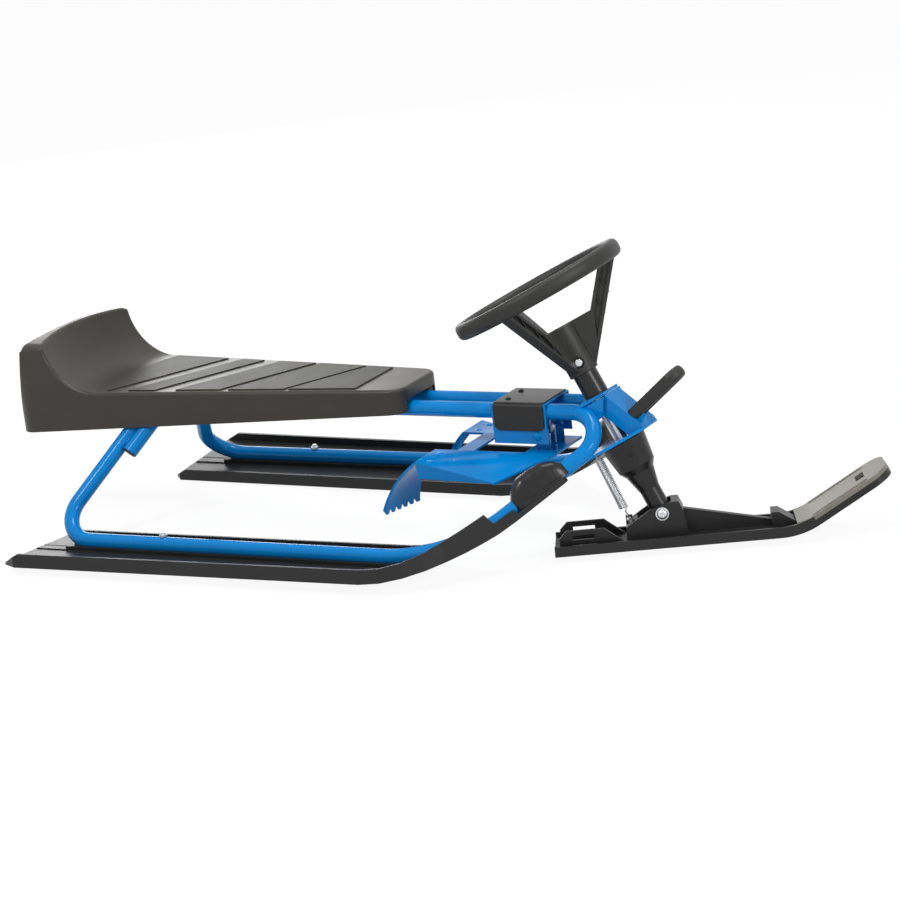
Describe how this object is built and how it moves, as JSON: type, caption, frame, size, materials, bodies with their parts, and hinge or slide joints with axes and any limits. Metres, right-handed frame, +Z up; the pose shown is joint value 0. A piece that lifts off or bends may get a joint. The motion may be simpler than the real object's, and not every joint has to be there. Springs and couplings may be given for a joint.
{
  "type": "steering sled",
  "caption": "Steerable snow sled: bent tube frame on rear runners, moulded seat with swept-up back, rocking foot brake, and a raked column with wheel and turning front ski.",
  "frame": {"origin": "on the ground, under the middle of the whole sled's box", "axes": "+X forward along the sled, +Y to the rider's left, +Z up; the steering rests turned to the left as pictured"},
  "size_m": [1.2572, 0.6108, 0.4186],
  "materials": {
    "blue_paint": "gloss blue powder coat on steel",
    "zinc_steel": "bright zinc plating",
    "black_steel": "black oxide screws",
    "seat_plastic": "satin dark grey blow moulding",
    "ski_plastic": "satin black moulded runner",
    "gloss_black": "semi-gloss black moulding",
    "matte_black": "matte black moulding"
  },
  "bodies": {
    "frame": {"frame_tube_right": "blue_paint", "frame_tube_left": "blue_paint", "rear_cross_tube": "blue_paint", "front_seat_carrier": "blue_paint", "rear_seat_carrier": "blue_paint", "seat_shell": "seat_plastic", "seat_screws": "zinc_steel", "rear_ski_right": "ski_plastic", "ski_clip_right": "gloss_black", "rear_ski_left": "ski_plastic", "ski_clip_left": "gloss_black", "ski_bolts": "zinc_steel", "ski_nuts": "zinc_steel", "head_top_plate": "blue_paint", "head_low_plate": "blue_paint", "head_hood": "blue_paint", "upper_bush": "matte_black", "lower_bush": "matte_black", "tow_loop": "matte_black", "centring_spring": "zinc_steel", "brake_bracket": "blue_paint", "brake_cover": "gloss_black", "cover_screws": "black_steel", "brake_pivot_bolt": "zinc_steel", "brake_pivot_nut": "zinc_steel", "brake_return_spring": "zinc_steel"},
    "steering": {"steering_shaft": "zinc_steel", "column_sleeve": "gloss_black", "steering_wheel": "matte_black", "hub_bolt": "zinc_steel", "hub_nut": "zinc_steel", "column_leg": "gloss_black", "leg_pin": "zinc_steel"},
    "axle_set": {"axle_bolt": "zinc_steel", "axle_washers": "zinc_steel", "axle_nut": "zinc_steel"},
    "front_ski": {"front_ski": "ski_plastic"},
    "brake": {"brake_plate": "blue_paint"}
  },
  "joints": [
    {"name": "steer", "type": "hinge", "parent": "frame", "child": "steering", "pos_m": [0.33825, 0, 0.04789], "axis": [-0.4576, 0, 0.8891], "range_deg": [-68, 12], "deforming": ["centring_spring"]},
    {"name": "ski_rock", "type": "hinge", "parent": "steering", "child": "axle_set", "pos_m": [0.33825, 0, 0.04789], "axis": [0.9067, 0.4205, -0.0334], "range_deg": [-13.5, 0.5], "deforming": ["centring_spring"]},
    {"name": "ski_pitch", "type": "hinge", "parent": "axle_set", "child": "front_ski", "pos_m": [0.33825, 0, 0.04789], "axis": [-0.4216, 0.9009, -0.103], "range_deg": [-15, 8], "deforming": ["centring_spring"]},
    {"name": "brake_press", "type": "hinge", "parent": "frame", "child": "brake", "pos_m": [0.17939, 0, 0.15659], "axis": [0, -1, 0], "range_deg": [0, 12], "stiffness_Nm_per_rad": 14, "springref_deg": -11.46, "deforming": ["brake_return_spring"]}
  ]
}
